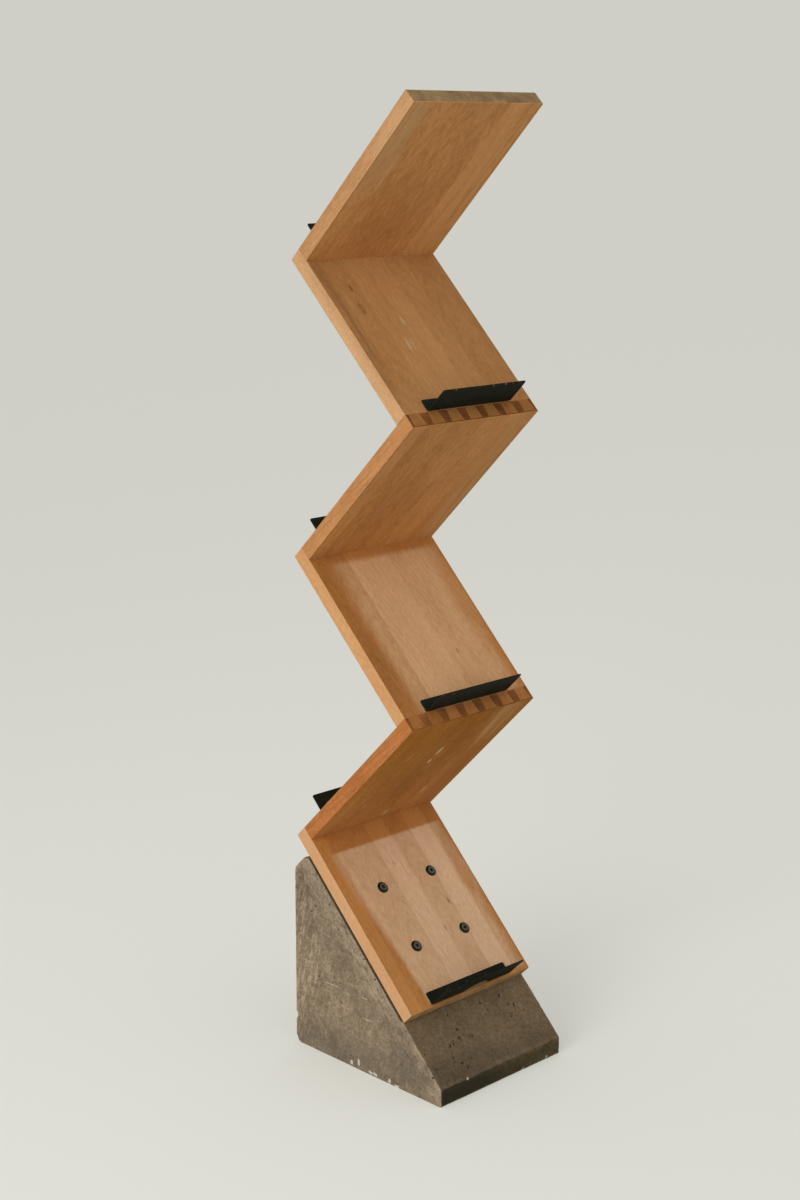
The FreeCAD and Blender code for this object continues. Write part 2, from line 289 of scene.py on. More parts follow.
class ShelfStage(bpy.types.PropertyGroup):
    """Camera, lights and floor."""
    lens: a_number("Lens", "Focal length for a 36 mm frame", 60.38, subtype="DISTANCE_CAMERA")
    yaw: a_number("Yaw", "Camera's turn from +Y towards +X", 0.7736, subtype="ANGLE")
    pitch: a_number("Pitch", "Camera's tilt down", 0.2255, subtype="ANGLE")
    roll: a_number("Roll", "Camera's turn about its own axis", 0.0011, subtype="ANGLE")
    eye: FloatVectorProperty(
        name="Camera place", description="Where the camera stands",
        default=(-2.2746, -2.2669, 1.5248), subtype="XYZ", unit="LENGTH")
    floor_radius: a_number("Floor radius", "Radius of the round floor", 60, unit="LENGTH")
    pale: a_colour("Pale ground", "Colour of the floor and of the background", "#CFCFC7")
    key_watts: a_number("Key light", "Power of the large soft light at the left", 33.5, unit="POWER")
    key_size: a_number("Key size", "Side of the large soft light", 3, unit="LENGTH")
    key_spread: a_number(
        "Key spread", "Cone that the large soft light fills, sparing the floor near it",
        math.radians(80), subtype="ANGLE")
    key_place: FloatVectorProperty(
        name="Key place", description="Where the large soft light stands",
        default=(-4.4, -0.9, 1.7), subtype="XYZ", unit="LENGTH")
    sky: a_number("Sky", "Strength of the even light from all round", 0.55)


def put_in(tree, socket, value):
    """Fills a socket with a plain value or with another node's output."""
    if isinstance(value, bpy.types.NodeSocket):
        tree.links.new(value, socket)
    else:
        socket.default_value = value


def add_node(tree, kind, *values, **settings):
    """Adds a node, sets it up and fills its sockets that are in use, in their order. It gives back the
    first output that is in use."""
    node = tree.nodes.new(f"ShaderNode{kind}")
    for name, value in settings.items():
        setattr(node, name, value)
    for socket, value in zip([socket for socket in node.inputs if socket.enabled], values):
        put_in(tree, socket, value)
    return next((socket for socket in node.outputs if socket.enabled), None)


def new_material(name):
    """An empty node material, its tree and its surface shader's sockets."""
    material = bpy.data.materials.new(name)
    material.use_nodes = True
    tree = material.node_tree
    tree.nodes.clear()
    surface = add_node(tree, "BsdfPrincipled")
    add_node(tree, "OutputMaterial", surface)
    return material, tree, surface.node.inputs


def finish_surface(tree, surface, values):
    """Puts a pattern or a plain value in each named socket of a surface or of the background."""
    for name, value in values.items():
        put_in(tree, surface[name], value)


def board_place(tree):
    """A point's place in its own board's frame."""
    return add_node(tree, "Attribute", attribute_name=PLACE).node.outputs["Vector"]


def layered(tree, *layers, operation="MULTIPLY"):
    """Patterns put together as one, each eased between a start and an end. It goes from 0 to 1 there, or
    from a low to a high value of its own."""
    result = None
    for pattern, start, end, *levels in layers:
        low, high = levels or (0.0, 1.0)
        eased = add_node(tree, "MapRange", pattern, start, end, low, high, interpolation_type="SMOOTHSTEP")
        result = add_node(tree, "Math", result, eased, operation=operation) if result else eased
    return result


def grained(tree, position, size, detail, roughness=0.55):
    """A cloudy pattern whose grains have the given size in millimetres along each axis."""
    scaled = add_node(tree, "VectorMath", position, [length * MM for length in size], operation="DIVIDE")
    return add_node(tree, "TexNoise", scaled, 1.0, detail, roughness)


def oval_mask(tree, position, centre, radii, strength):
    """A soft oval mask about a point, with places and radii in millimetres."""
    moved = add_node(tree, "VectorMath", position, [value * MM for value in centre], operation="SUBTRACT")
    scaled = add_node(tree, "VectorMath", moved, [value * MM for value in radii], operation="DIVIDE")
    length = add_node(tree, "VectorMath", scaled, operation="LENGTH")
    return layered(tree, (length, 1.0, 0.2, 0.0, strength))


def growth_lines(tree, in_stave, along, out, chance, settings):
    """Rings about a pith below each stave, which the saw cut at a slant."""
    pith_spread = (0.06, 0.5, 0.05)
    nearest_pith = (-0.03, 0.0, 0.02)
    slant = 0.09
    drift = 0.04
    pith = add_node(tree, "VectorMath", chance, pith_spread, nearest_pith, operation="MULTIPLY_ADD")
    pith_across, pith_along, pith_out = add_node(tree, "SeparateXYZ", pith).node.outputs
    slanted = add_node(tree, "Math", along, slant, pith_out, operation="MULTIPLY_ADD")
    ring_place = add_node(
        tree, "CombineXYZ",
        add_node(tree, "Math", in_stave, settings.stave_width, pith_across, operation="MULTIPLY_ADD"),
        add_node(tree, "Math", along, drift, pith_along, operation="MULTIPLY_ADD"),
        add_node(tree, "Math", out, slanted, operation="ADD"))
    return add_node(
        tree, "TexWave", ring_place, WAVE_LENGTH / settings.growth_line, 3.0, 2.0, 0.6,
        wave_type="RINGS", rings_direction="Y").node.outputs["Fac"]


def wood_figure(tree, position, look, settings):
    """The grain's tint, with the streaks and the clouds of oil that are in it."""
    across, along, out = add_node(tree, "SeparateXYZ", position).node.outputs

    # Each stave has its own tone, and its own part of the tree
    staves = add_node(tree, "Math", across, 1 / settings.stave_width,
                      -look.first_joint * MM / settings.stave_width, operation="MULTIPLY_ADD")
    in_stave = add_node(tree, "Math", staves, operation="FRACT")
    stave = add_node(tree, "Math", staves, operation="FLOOR")
    draw = add_node(tree, "Math", stave, look.staves, operation="ADD")
    tone_chance = add_node(tree, "TexWhiteNoise", draw, noise_dimensions="1D")
    chance = tone_chance.node.outputs["Color"]
    own_place = add_node(tree, "VectorMath", chance, (2.0, 2.0, 2.0), position, operation="MULTIPLY_ADD")

    # Streaks and flecks run along the grain, clouds lie over both, and a thin line shows at a glued edge
    streak_size = (settings.streak_width / MM, settings.streak_length / MM, settings.streak_width / MM)
    fleck_width = settings.fleck_width / MM
    streak = grained(tree, own_place, streak_size, 4.0, 0.6)
    fleck = grained(tree, own_place, (fleck_width, 7 * fleck_width, fleck_width), 2.0)
    cloud = grained(tree, position, (50, 130, 50), 3.0)
    lines = growth_lines(tree, in_stave, along, out, chance, settings)
    off_middle = add_node(tree, "Math", in_stave, 0.5, operation="SUBTRACT")
    from_middle = add_node(tree, "Math", off_middle, operation="ABSOLUTE")
    swing = 0.12 * look.figure
    fine_swing = 0.13 + 0.1 * look.figure
    grain = layered(
        tree, (tone_chance, 0.0, 1.0, 0.32, 0.68),
        (streak, 0.25, 0.75, -swing, swing),
        (cloud, *CLOUDY, -swing, swing),
        (lines, 0.55, 1.0, 0.02, -swing),
        (fleck, *CLOUDY, -fine_swing, fine_swing),
        (from_middle, 0.485, 0.5, 0.0, -0.16), operation="ADD")
    tint = add_node(tree, "Mix", grain, (*DEEP_GRAIN, 1.0), (*PALE_GRAIN, 1.0), data_type="RGBA")
    return tint, streak, cloud


def pale_and_lit_mask(tree, place, cloud, bleached, settings):
    """The upper face's paler middle, partly paler wood and partly a painted pool of light: crisp at the top,
    where the painted shadow of the board above begins, and soft at the sides.
    """
    across, along, out = place
    left, high_left, low_blur, high_blur, right, right_blur, foot, top, top_blur = [
        value * MM for value in bleached[1:]]
    left_blur = layered(tree, (along, foot, top, low_blur, high_blur))
    border = layered(tree, (along, foot, top, left, high_left))
    from_left = add_node(tree, "Math", across, border, operation="SUBTRACT")
    blurs_in = add_node(tree, "Math", from_left, left_blur, operation="DIVIDE")
    wander = layered(tree, (cloud, *CLOUDY, -12 * MM, 12 * MM))
    wandering = add_node(tree, "Math", across, wander, operation="ADD")
    return layered(
        tree, (blurs_in, -1.0, 1.0),
        (wandering, right + right_blur, right - right_blur),
        (along, foot - top_blur, foot + top_blur),
        (along, top + top_blur, top - top_blur),
        (out, -settings.edge_round - MM, -settings.edge_round))


def aged_ground(tree, position, cloud, number, settings):
    """A board's colour under its grain: the pale middle, partly painted light, the edges, and darker corners
    and tails.
    """
    look = BOARD_LOOKS[number]
    place = add_node(tree, "SeparateXYZ", position).node.outputs
    across, along, _ = place
    up_board = layered(tree, (along, 0.0, board_length(settings)))
    colour = add_node(tree, "Mix", up_board, linear(look.foot), linear(look.head), data_type="RGBA")
    # Painted light: the pale middle is partly paler wood and partly a painted pool of light.
    if look.bleached:
        pale = pale_and_lit_mask(tree, place, cloud, look.bleached, settings)
        colour = add_node(tree, "Mix", pale, colour, linear(look.bleached.colour), data_type="RGBA")
    from_centre = add_node(tree, "Math", across, operation="ABSOLUTE")
    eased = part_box(f"board_{number}")[1].x - settings.edge_round
    on_edge = layered(tree, (from_centre, eased - 0.5 * MM, eased))
    colour = add_node(tree, "Mix", on_edge, colour, linear(look.edge), data_type="RGBA")
    corner = layered(
        tree, (from_centre, eased - 3.5 * MM, eased - 0.5 * MM, 0.0, 0.6),
        (from_centre, eased, eased - 0.3 * MM))
    tail = layered(
        tree, (along, settings.thickness + MM, settings.thickness, 0.0, look.foot_stain),
        (from_centre, eased, eased - 0.5 * MM))
    shade = add_node(tree, "Math", corner, tail, operation="MAXIMUM")
    shaded = add_node(tree, "VectorMath", colour, DEEP_GRAIN, operation="MULTIPLY")
    return add_node(tree, "Mix", shade, colour, shaded, data_type="RGBA")


def with_marks(tree, colour, position, streak, number, settings):
    """Scuffs, faded patches, stains and a patch of painted light, which follow the streaks, so their
    outlines are ragged.
    """
    seen_face = 0.0 if number % 2 else -settings.thickness / MM
    takes = layered(tree, (streak, 0.3, 0.65))
    for mark in BOARD_LOOKS[number].marks:
        mask = oval_mask(tree, position, (mark.across, mark.up, seen_face),
                         (mark.half_width, mark.half_length, mark.half_width), mark.strength)
        ragged = add_node(tree, "Math", mask, takes, operation="MULTIPLY")
        colour = add_node(tree, "Mix", ragged, colour, linear(mark.colour), data_type="RGBA")
    return colour


def oiled_birch(number, settings):
    """Edge-glued birch, planed and oiled: honey staves with soft streaks and a low sheen."""
    look = BOARD_LOOKS[number]
    material, tree, surface = new_material(f"oiled_birch_{number}")
    position = board_place(tree)
    tint, streak, cloud = wood_figure(tree, position, look, settings)
    ground = aged_ground(tree, position, cloud, number, settings)
    tinted = add_node(tree, "VectorMath", ground, tint, operation="MULTIPLY")
    finish_surface(tree, surface, {
        "Base Color": with_marks(tree, tinted, position, streak, number, settings),
        "Roughness": layered(tree, (streak, 0.2, 0.8, 0.74, 0.62)),
        "Normal": add_node(tree, "Bump", 0.1, 0.3 * MM, BUMP_FILTER, streak),
        "IOR": 1.48,
        "Specular IOR Level": look.shine})
    return material


def end_grain(number, settings):
    """Sawn end grain: it drinks oil and dirt, so it is darker and duller than the faces."""
    look = BOARD_LOOKS[number]
    material, tree, surface = new_material(f"birch_end_grain_{number}")
    position = board_place(tree)
    _, along, out = add_node(tree, "SeparateXYZ", position).node.outputs
    rings = add_node(tree, "TexWave", position, WAVE_LENGTH / settings.growth_line, 6.0, 2.0, 0.5,
                     bands_direction="Z").node.outputs["Fac"]
    speck = grained(tree, position, (1.8, 20, 1.8), 3.0)
    patch = grained(tree, position, (32, 60, 40), 2.0)
    tone = layered(
        tree, (rings, 0.2, 1.0, 1.05, 0.9), (speck, *CLOUDY, 0.88, 1.12), (patch, *CLOUDY, 0.74, 1.28))

    # Only the lowest board's foot is in no joint, and stayed cleaner
    foot = settings.free_foot if number == LOWEST_BOARD else linear(look.end_grain)
    at_head = layered(tree, (along, 20 * MM, 50 * MM))
    ground = add_node(tree, "Mix", at_head, foot, linear(look.end_grain), data_type="RGBA")
    colour = add_node(tree, "VectorMath", ground, tone, operation="SCALE")

    # Splinters have broken out white along the joint's inner edge
    splinter = layered(
        tree, (speck, 0.56, 0.64), (patch, 0.5, 0.6), (out, -7 * MM, -1 * MM, 0.0, 0.7))
    finish_surface(tree, surface, {
        "Base Color": add_node(tree, "Mix", splinter, colour, settings.splinter, data_type="RGBA"),
        "Normal": add_node(tree, "Bump", 0.1, 0.3 * MM, BUMP_FILTER, tone),
        "Roughness": 0.85,
        "IOR": 1.45,
        "Specular IOR Level": 0.05})
    return material


def behind_slope(tree, position, settings):
    """How far a point of the base lies behind its slope, measured level."""
    _, depth, height = add_node(tree, "SeparateXYZ", position).node.outputs
    level = add_node(tree, "Math", depth, height, operation="SUBTRACT")
    slope_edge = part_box("concrete_base")[0].y - settings.toe_height
    return add_node(tree, "Math", level, slope_edge, operation="SUBTRACT")


def facing(tree, direction, start):
    """1 on faces that look in a direction, fading to 0 where they turn away."""
    normal = add_node(tree, "NewGeometry").node.outputs["Normal"]
    towards = add_node(tree, "VectorMath", normal, direction, operation="DOT_PRODUCT")
    return layered(tree, (towards, start, 0.98))


def float_strokes(tree, position, mottle, settings):
    """The float's short pale strokes: along the slanted edge, up the back edge, and faintly level."""
    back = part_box("concrete_base")[1].y
    _, depth, height = add_node(tree, "SeparateXYZ", position).node.outputs
    near_slope = layered(tree, (behind_slope(tree, position, settings), 75 * MM, 20 * MM))
    near_back = layered(tree, (depth, back - 100 * MM, back - 5 * MM))
    turned = add_node(tree, "Mapping", position, (0, 0, 0), (-math.radians(45), 0, 0))
    leaning = add_node(tree, "Mapping", position, (0, 0, 0), (-math.radians(14), 0, 0))
    slant_strokes = layered(
        tree, (grained(tree, turned, (40, 24, 5), 3.0, 0.6), 0.36, 0.6, 0.15, 0.85),
        (near_slope, 0.0, 1.0), (mottle, 0.36, 0.56, 0.4, 1.0),
        (height, 60 * MM, 115 * MM, 0.5, 1.0))
    back_strokes = layered(
        tree, (grained(tree, leaning, (40, 5, 28), 3.0, 0.6), 0.44, 0.64, 0.0, 0.85),
        (near_back, 0.0, 1.0, 0.25, 1.0), (mottle, 0.36, 0.56, 0.25, 1.0))
    level_strokes = layered(tree, (grained(tree, position, (40, 26, 2.2), 3.0, 0.7), 0.58, 0.7, 0.0, 0.4))
    strokes = add_node(tree, "Math", slant_strokes, back_strokes, operation="MAXIMUM")
    return add_node(tree, "Math", strokes, level_strokes, operation="MAXIMUM")


def cement_skin(tree, position, cloud, mottle, to_side, settings):
    """The mottled skin, paler at its edges, partly from rubbing and partly as a painted edge highlight, with
    strokes and scratches on its sides.
    """
    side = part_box("concrete_base")[0].x / MM
    wear = add_node(tree, "Attribute", attribute_name="wear").node.outputs["Fac"]
    strokes = float_strokes(tree, position, mottle, settings)
    side_strokes = add_node(tree, "Math", strokes, to_side, operation="MULTIPLY")
    mottles = layered(tree, (cloud, *CLOUDY, 0.09, 0.4), (mottle, *CLOUDY, 0.04, 0.36), operation="ADD")
    # Paler near every edge: partly rubbed wear, partly a painted edge highlight.
    rubbed = layered(tree, (wear, 0.0, 1.0), (mottle, 0.3, 0.6, 0.0, 0.5))
    paleness = add_node(tree, "Math", mottles, side_strokes, operation="ADD")
    paleness = add_node(tree, "Math", paleness, rubbed, operation="ADD")
    colour = add_node(tree, "Mix", paleness, settings.dark, settings.pale, data_type="RGBA")
    for depth, height, half_length in SIDE_SCRATCHES:
        scratch = oval_mask(tree, position, (side, depth, height), (4, half_length, 1.4), 0.75)
        colour = add_node(tree, "Mix", scratch, colour, settings.scratch, data_type="RGBA")
    return colour


def stained_and_shaded_faces(tree, position, skin, cloud, to_side, settings):
    """The faces' stains and painted shade: sides darker towards the toe and low down, an even brown slope,
    and a front darkened by grime and painted shade, most of all at its left."""
    low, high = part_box("concrete_base")
    across, depth, height = add_node(tree, "SeparateXYZ", position).node.outputs
    at_toe = layered(tree, (depth, 20 * MM, -130 * MM), (cloud, 0.7, 0.4, 0.1, 0.6))
    low_down = layered(tree, (depth, -130 * MM, -20 * MM), (height, 85 * MM, 20 * MM, 0.0, 0.55))
    damp = add_node(tree, "Math", at_toe, low_down, operation="MAXIMUM")
    side_damp = add_node(tree, "Math", damp, to_side, operation="MULTIPLY")
    colour = add_node(tree, "Mix", side_damp, skin, settings.damp, data_type="RGBA")
    even = add_node(tree, "Mix", 0.45, colour, settings.slope_brown, data_type="RGBA")
    slope_tone = layered(
        tree, (height, low.z + settings.toe_height, 80 * MM, 0.8, 1.18), (across, low.x, high.x, 0.94, 1.14))
    front_tone = layered(tree, (across, low.x + 45 * MM, high.x, 0.43, 1.4))
    # Painted shade, partly stain: the slope and the front are tinted darker by the way they face.
    for direction, ground, tint, tone in (
            ((0, -DIAGONAL, DIAGONAL), even, (0.67, 0.62, 0.53), slope_tone),
            ((0, -1, 0), colour, (0.26, 0.25, 0.16), front_tone)):
        tinted = add_node(tree, "VectorMath", ground, tint, operation="MULTIPLY")
        toned = add_node(tree, "VectorMath", tinted, tone, operation="SCALE")
        colour = add_node(tree, "Mix", facing(tree, direction, 0.8), colour, toned, data_type="RGBA")
    return colour


def cast_concrete(settings):
    """Cement cast in a wedge mould: a mottled skin, paler at its edges from rubbing and a painted highlight,
    with pits and pinholes painted dark as shade.
    """
    material, tree, surface = new_material("cast_concrete")
    position = add_node(tree, "TexCoord").node.outputs["Object"]
    height = add_node(tree, "SeparateXYZ", position).node.outputs["Z"]
    to_side = facing(tree, (-1, 0, 0), 0.6)
    cloud = grained(tree, position, (60, 60, 60), 4.0, 0.6)
    mottle = grained(tree, position, (16, 16, 16), 4.0, 0.6)
    grit = grained(tree, position, (5, 5, 5), 5.0, 0.6)
    skin = cement_skin(tree, position, cloud, mottle, to_side, settings)
    colour = stained_and_shaded_faces(tree, position, skin, cloud, to_side, settings)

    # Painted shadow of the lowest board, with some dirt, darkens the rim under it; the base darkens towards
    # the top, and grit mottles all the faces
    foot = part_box("board_1")[0].z
    rim = layered(
        tree, (behind_slope(tree, position, settings), 6 * MM, 2.5 * MM),
        (height, foot - 2 * MM, foot + 4 * MM, 0.0, 0.7))
    tone = layered(
        tree, (rim, 0.0, 1.0, 1.0, 0.0), (height, 130 * MM, 260 * MM, 1.0, 0.79),
        (grit, *CLOUDY, 0.78, 1.22))
    colour = add_node(tree, "VectorMath", colour, tone, operation="SCALE")

    # Pinholes are drawn wide enough to show, and only some of the cells hold one. Pits and pinholes are
    # painted dark: painted shade in the holes
    pit, chip = [
        add_node(tree, "Attribute", attribute_name=name).node.outputs["Fac"] for name in ("pit", "chip")]
    cell = add_node(tree, "TexVoronoi", position, 1 / settings.pinhole_spacing)
    cell_chance = add_node(tree, "SeparateXYZ", cell.node.outputs["Color"])
    ragged = layered(tree, (cell, 0.0, 1.0), (grit, *CLOUDY, -0.05, 0.05), operation="ADD")
    pinhole = layered(tree, (ragged, 0.07, 0.01, 0.0, 0.8), (cell_chance, 0.88, 0.9))
    sunk = layered(tree, (pit, 0.1, 0.7))
    holes = add_node(tree, "Math", sunk, pinhole, operation="MAXIMUM")
    colour = add_node(tree, "Mix", holes, colour, settings.hole_shade, data_type="RGBA")
    bare = layered(tree, (chip, 0.1, 0.5, 0.0, 0.85))
    relief = add_node(tree, "Math", grit, mottle, operation="ADD")
    finish_surface(tree, surface, {
        "Base Color": add_node(tree, "Mix", bare, colour, settings.chipped, data_type="RGBA"),
        "Roughness": layered(tree, (mottle, *CLOUDY, 0.75, 0.92)),
        "Normal": add_node(tree, "Bump", 0.3, 0.6 * MM, BUMP_FILTER, relief),
        "Specular IOR Level": 0.25})
    return material


def black_paint(number, settings):
    """Satin black paint on sheet steel, chipped to primer in a few places on the lip."""
    material, tree, surface = new_material(f"satin_black_paint_{number}")
    position = board_place(tree)
    _, along, up = add_node(tree, "SeparateXYZ", position).node.outputs
    peel = grained(tree, position, (1.5, 1.5, 1.5), 2.0)
    haze = grained(tree, position, (30, 30, 15), 3.0)
    ragged = grained(tree, position, (2, 2, 2), 2.0)
    hazed = layered(tree, (haze, 0.35, 0.8, 0.0, 0.05))
    colour = add_node(tree, "Mix", hazed, settings.paint, settings.haze, data_type="RGBA")
    lip = setback(number, settings) / MM
    for chip_across, chip_up, radius in PAINT_CHIPS.get(number, []):
        spot = oval_mask(tree, position, (chip_across, lip, chip_up), (radius, 4, radius), 1.0)
        broken = add_node(tree, "Math", spot, ragged, operation="MULTIPLY")
        mask = layered(tree, (broken, 0.18, 0.3, 0.0, 0.8))
        colour = add_node(tree, "Mix", mask, colour, settings.rubbed, data_type="RGBA")
    if number == LOWEST_BOARD:
        # The pale oval at the foot of the lowest lip's front.
        oval = oval_mask(tree, position, (LIP_OVAL_MIDDLE[0], lip, LIP_OVAL_MIDDLE[1]), LIP_OVAL_RADII, 1.0)
        worn = layered(
            tree, (oval, 0.2, 0.32, 0.0, 0.95), (up, 2 * MM, 3 * MM),
            (along, (lip + 1.5) * MM, (lip + 0.5) * MM))
        colour = add_node(tree, "Mix", worn, colour, settings.worn, data_type="RGBA")
    finish_surface(tree, surface, {
        "Base Color": colour,
        "Roughness": layered(tree, (haze, *CLOUDY, 0.52, 0.62)),
        "Normal": add_node(tree, "Bump", 0.08, 0.1 * MM, BUMP_FILTER, peel),
        "Specular IOR Level": 0.04})
    return material


def black_oxide(settings):
    """Black-oxide steel: dark metal, with the heads' flat rings painted a greyer satin as a painted
    highlight.
    """
    material, tree, surface = new_material("black_oxide_bolts")
    position = board_place(tree)
    mark = grained(tree, position, (2, 2, 2), 3.0)
    reach = settings.bolt_spacing / 2
    from_centre = add_node(tree, "VectorMath", position, (0, settings.bolt_centre, 0), operation="SUBTRACT")
    folded = add_node(tree, "VectorMath", from_centre, operation="ABSOLUTE")
    from_bolt = add_node(tree, "VectorMath", folded, (reach, reach, 0), operation="SUBTRACT")
    flat = add_node(tree, "VectorMath", from_bolt, (1, 1, 0), operation="MULTIPLY")
    radius = add_node(tree, "VectorMath", flat, operation="LENGTH")
    edge = settings.bolt_flat / 2
    # Painted highlight on each head's flat ring.
    ring = layered(tree, (radius, edge + 0.2 * MM, edge - 0.2 * MM))
    colour = add_node(tree, "Mix", ring, settings.oxide, settings.highlight_oxide, data_type="RGBA")
    tone = layered(tree, (mark, *CLOUDY, 0.85, 1.15))
    finish_surface(tree, surface, {
        "Base Color": add_node(tree, "VectorMath", colour, tone, operation="SCALE"),
        "Roughness": layered(tree, (mark, *CLOUDY, 0.36, 0.48)),
        "Metallic": 1.0})
    return material


def plated_steel(name, colour, roughness):
    """Turned and plated steel: metal, with faint turning and handling marks."""
    material, tree, surface = new_material(name)
    position = add_node(tree, "TexCoord").node.outputs["Object"]
    mark = grained(tree, position, (2, 2, 2), 3.0)
    tone = layered(tree, (mark, *CLOUDY, 0.8, 1.2))
    finish_surface(tree, surface, {
        "Base Color": add_node(tree, "VectorMath", colour, tone, operation="SCALE"),
        "Roughness": layered(tree, (mark, *CLOUDY, roughness - 0.06, roughness + 0.06)),
        "Metallic": 1.0})
    return material


def board_length(settings):
    """Length of a board, from the height that the lowest one takes up at 45 degrees."""
    low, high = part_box("board_1")
    return (high.z - low.z) / DIAGONAL - settings.thickness


def board_frame(number, settings):
    """A board's own frame: X across, Y up its length, Z out of its upper face."""
    low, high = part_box(f"board_{number}")
    inset = settings.thickness * DIAGONAL
    if number % 2:
        across, turn, top = 1, 1, high.y - inset
    else:
        across, turn, top = -1, -1, low.y + inset
    along = Vector((0, turn * DIAGONAL, DIAGONAL))
    out = Vector((0, -turn * DIAGONAL, DIAGONAL))
    origin = Vector((0, top, high.z)) - along * board_length(settings)
    turned = Matrix((Vector((across, 0, 0)), along, out)).transposed().to_4x4()
    return Matrix.Translation(origin) @ turned


def setback(number, settings):
    """From a board's lower corner to its stop's lip."""
    return settings.lowest_setback if number == LOWEST_BOARD else settings.lip_setback


def deselect_all():
    """Nothing is selected, so that an operator acts only on what comes next."""
    bpy.ops.object.select_all(action="DESELECT")


def make_active(piece):
    """Only this piece is selected, and operators act on it."""
    deselect_all()
    piece.select_set(True)
    bpy.context.view_layer.objects.active = piece


def copied_node(node, name):
    """A new piece from a copy of a node's mesh, with its loose triangles merged to whole faces."""
    piece = bpy.data.objects.new(name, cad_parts[node].data.copy())
    bpy.context.collection.objects.link(piece)
    make_active(piece)
    piece.data.materials.clear()
    bpy.ops.mesh.customdata_custom_splitnormals_clear()
    bpy.ops.object.mode_set(mode="EDIT")
    bpy.ops.mesh.select_all(action="SELECT")
    bpy.ops.mesh.remove_doubles(threshold=NEAR / 2)
    bpy.ops.mesh.dissolve_limited(angle_limit=math.radians(0.5))
    bpy.ops.object.mode_set(mode="OBJECT")
    return piece


def placed_copy(piece, place):
    """A copy of a piece with its own mesh, moved to its place on the shelf."""
    copy = piece.copy()
    copy.data = piece.data.copy()
    copy.data.transform(place)
    bpy.context.collection.objects.link(copy)
    return copy


def apply_modifier(piece, kind, **settings):
    """Adds a modifier, sets it up and applies it."""
    modifier = piece.modifiers.new(kind.title(), kind)
    for name, value in settings.items():
        setattr(modifier, name, value)
    make_active(piece)
    bpy.ops.object.modifier_apply(modifier=modifier.name)


def smooth(piece, degrees=35):
    """Smooth shading over the eased edges that leaves the flat faces flat."""
    make_active(piece)
    bpy.ops.object.shade_smooth_by_angle(angle=math.radians(degrees))
    apply_modifier(piece, "WEIGHTED_NORMAL", keep_sharp=True)


def ease_cut_edges(piece, degrees, settings):
    """Rounds the edges where the steel turns by more than an angle."""
    apply_modifier(piece, "BEVEL", limit_method="ANGLE", angle_limit=math.radians(degrees),
                   width=settings.sheet_round, segments=2)


def write_place(piece, board):
    """Keeps each point's place in its board's frame, for patterns that follow the board."""
    to_board = board.inverted()
    attribute = piece.data.attributes.new(PLACE, "FLOAT_VECTOR", "POINT")
    values = [value for vertex in piece.data.vertices for value in to_board @ vertex.co]
    attribute.data.foreach_set("vector", values)


def hand_over(piece, node):
    """The piece moves with the shelf and stands for its node."""
    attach(piece, BODY)
    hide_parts(node)


def joined(pieces, name):
    """Several meshes as one piece."""
    deselect_all()
    for piece in pieces:
        piece.select_set(True)
    bpy.context.view_layer.objects.active = pieces[0]
    bpy.ops.object.join()
    piece = bpy.context.view_layer.objects.active
    piece.name = name
    piece.data.name = name
    return piece


def edge_ease(ends, number, half_width, settings):
    """How much of the edge round an edge gets: all on the outside, a little in a joint, else none."""
    length = board_length(settings)
    planes = (
        lambda p: abs(abs(p.x) - half_width) < NEAR,
        lambda p: abs(p.z) < NEAR,
        lambda p: abs(p.z + settings.thickness) < NEAR,
        lambda p: abs(p.y) < NEAR,
        lambda p: abs(p.y - length) < NEAR)
    on_side, on_upper, on_lower, at_foot, at_head = (all(test(p) for p in ends) for test in planes)
    has_pins = number != HIGHEST_BOARD
    if on_upper and at_head and has_pins:
        return settings.joint_share
    if on_lower and at_head and has_pins:
        return settings.lap_share
    if sum((on_side, on_upper, on_lower, at_foot, at_head)) >= 2:
        return 1.0
    in_joint = on_upper and all(p.y < settings.thickness + NEAR for p in ends)
    return settings.joint_share if in_joint or at_head else 0.0


def build_board(number, settings):
    """One board: eased edges, its long grain and its end grain."""
    node = f"board_{number}"
    board = board_frame(number, settings)
    piece = copied_node(node, f"oiled_{node}")
    to_board = board.inverted()
    half_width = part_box(node)[1].x
    mesh = bmesh.new()
    mesh.from_mesh(piece.data)
    weight = mesh.edges.layers.float.new("bevel_weight_edge")
    for edge in mesh.edges:
        ends = [to_board @ vertex.co for vertex in edge.verts]
        edge[weight] = edge_ease(ends, number, half_width, settings)
    mesh.to_mesh(piece.data)
    mesh.free()
    apply_modifier(piece, "BEVEL", limit_method="WEIGHT", width=settings.edge_round, segments=2)
    smooth(piece)
    write_place(piece, board)
    piece.data.materials.append(oiled_birch(number, settings))
    piece.data.materials.append(end_grain(number, settings))
    along = board.col[1].to_3d()
    squarely = 0.95
    for face in piece.data.polygons:
        face.material_index = int(abs(face.normal.dot(along)) > squarely)
    hand_over(piece, node)


class SHELF_OT_boards(bpy.types.Operator):
    """Dress the six boards in oiled wood with eased edges"""
    bl_idname = "shelf.boards"
    bl_label = "Boards"

    def execute(self, context):
        for number in BOARD_NUMBERS:
            build_board(number, context.scene.shelf_boards)
        return {"FINISHED"}


class SHELF_OT_book_stops(bpy.types.Operator):
    """Dress the six bent stops in chipped black paint"""
    bl_idname = "shelf.book_stops"
    bl_label = "Book stops"

    def execute(self, context):
        settings = context.scene.shelf_steel
        for number in BOARD_NUMBERS:
            node = f"book_stop_{number}"
            piece = copied_node(node, f"black_{node}")
            ease_cut_edges(piece, 40, settings)
            smooth(piece)
            write_place(piece, board_frame(number, context.scene.shelf_boards))
            piece.data.materials.append(black_paint(number, settings))
            hand_over(piece, node)
        return {"FINISHED"}


